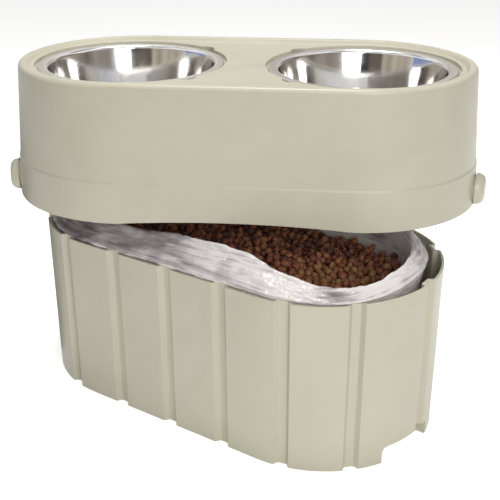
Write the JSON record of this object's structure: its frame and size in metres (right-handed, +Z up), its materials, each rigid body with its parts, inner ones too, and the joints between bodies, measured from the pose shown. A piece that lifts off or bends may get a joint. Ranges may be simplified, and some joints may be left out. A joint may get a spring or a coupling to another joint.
{
  "type": "elevated dog feeder with storage",
  "caption": "Raised pet feeding station: a deep plastic cap carries steel bowls over a grooved oval tub that stores a bag of dry food.",
  "frame": {"origin": "on the floor, at the middle of the underside of the storage base", "axes": "+X along the length of the storage base, +Z up"},
  "size_m": [0.6073, 0.4756, 0.4555],
  "materials": {
    "moulded_plastic": "satin, moulded",
    "stainless_steel": "polished inside, satin flange",
    "zinc_plate": "zinc plated",
    "bag_film": "thin crumpled film",
    "kibble": "dry baked grain"
  },
  "bodies": {
    "base": {"storage_base": "moulded_plastic", "food_bag": "bag_film", "kibble": "kibble"},
    "top": {"feeder_top": "moulded_plastic"},
    "bowl_left": {"bowl_left": "stainless_steel"},
    "bowl_right": {"bowl_right": "stainless_steel"},
    "knob_left": {"lock_knob_left": "moulded_plastic", "lock_cam_left": "moulded_plastic", "knob_washer_left": "zinc_plate", "knob_screw_left": "zinc_plate"},
    "knob_right": {"lock_knob_right": "moulded_plastic", "lock_cam_right": "moulded_plastic", "knob_washer_right": "zinc_plate", "knob_screw_right": "zinc_plate"}
  },
  "joints": [
    {"name": "top_lift", "type": "slide", "parent": "base", "child": "top", "axis": [0, 0, 1], "range_m": [0, 0.15]},
    {"name": "bowl_left_lift", "type": "slide", "parent": "top", "child": "bowl_left", "axis": [0, 0, 1], "range_m": [0, 0.1]},
    {"name": "bowl_right_lift", "type": "slide", "parent": "top", "child": "bowl_right", "axis": [0, 0, 1], "range_m": [0, 0.1]},
    {"name": "knob_left_turn", "type": "hinge", "parent": "top", "child": "knob_left", "pos_m": [-0.26871, -0.13483, 0.298], "axis": [-0.7385, -0.6743, 0], "range_deg": [0, 90]},
    {"name": "knob_right_turn", "type": "hinge", "parent": "top", "child": "knob_right", "pos_m": [0.27096, 0.16926, 0.298], "axis": [0.9593, 0.2823, 0], "range_deg": [0, 90]}
  ]
}
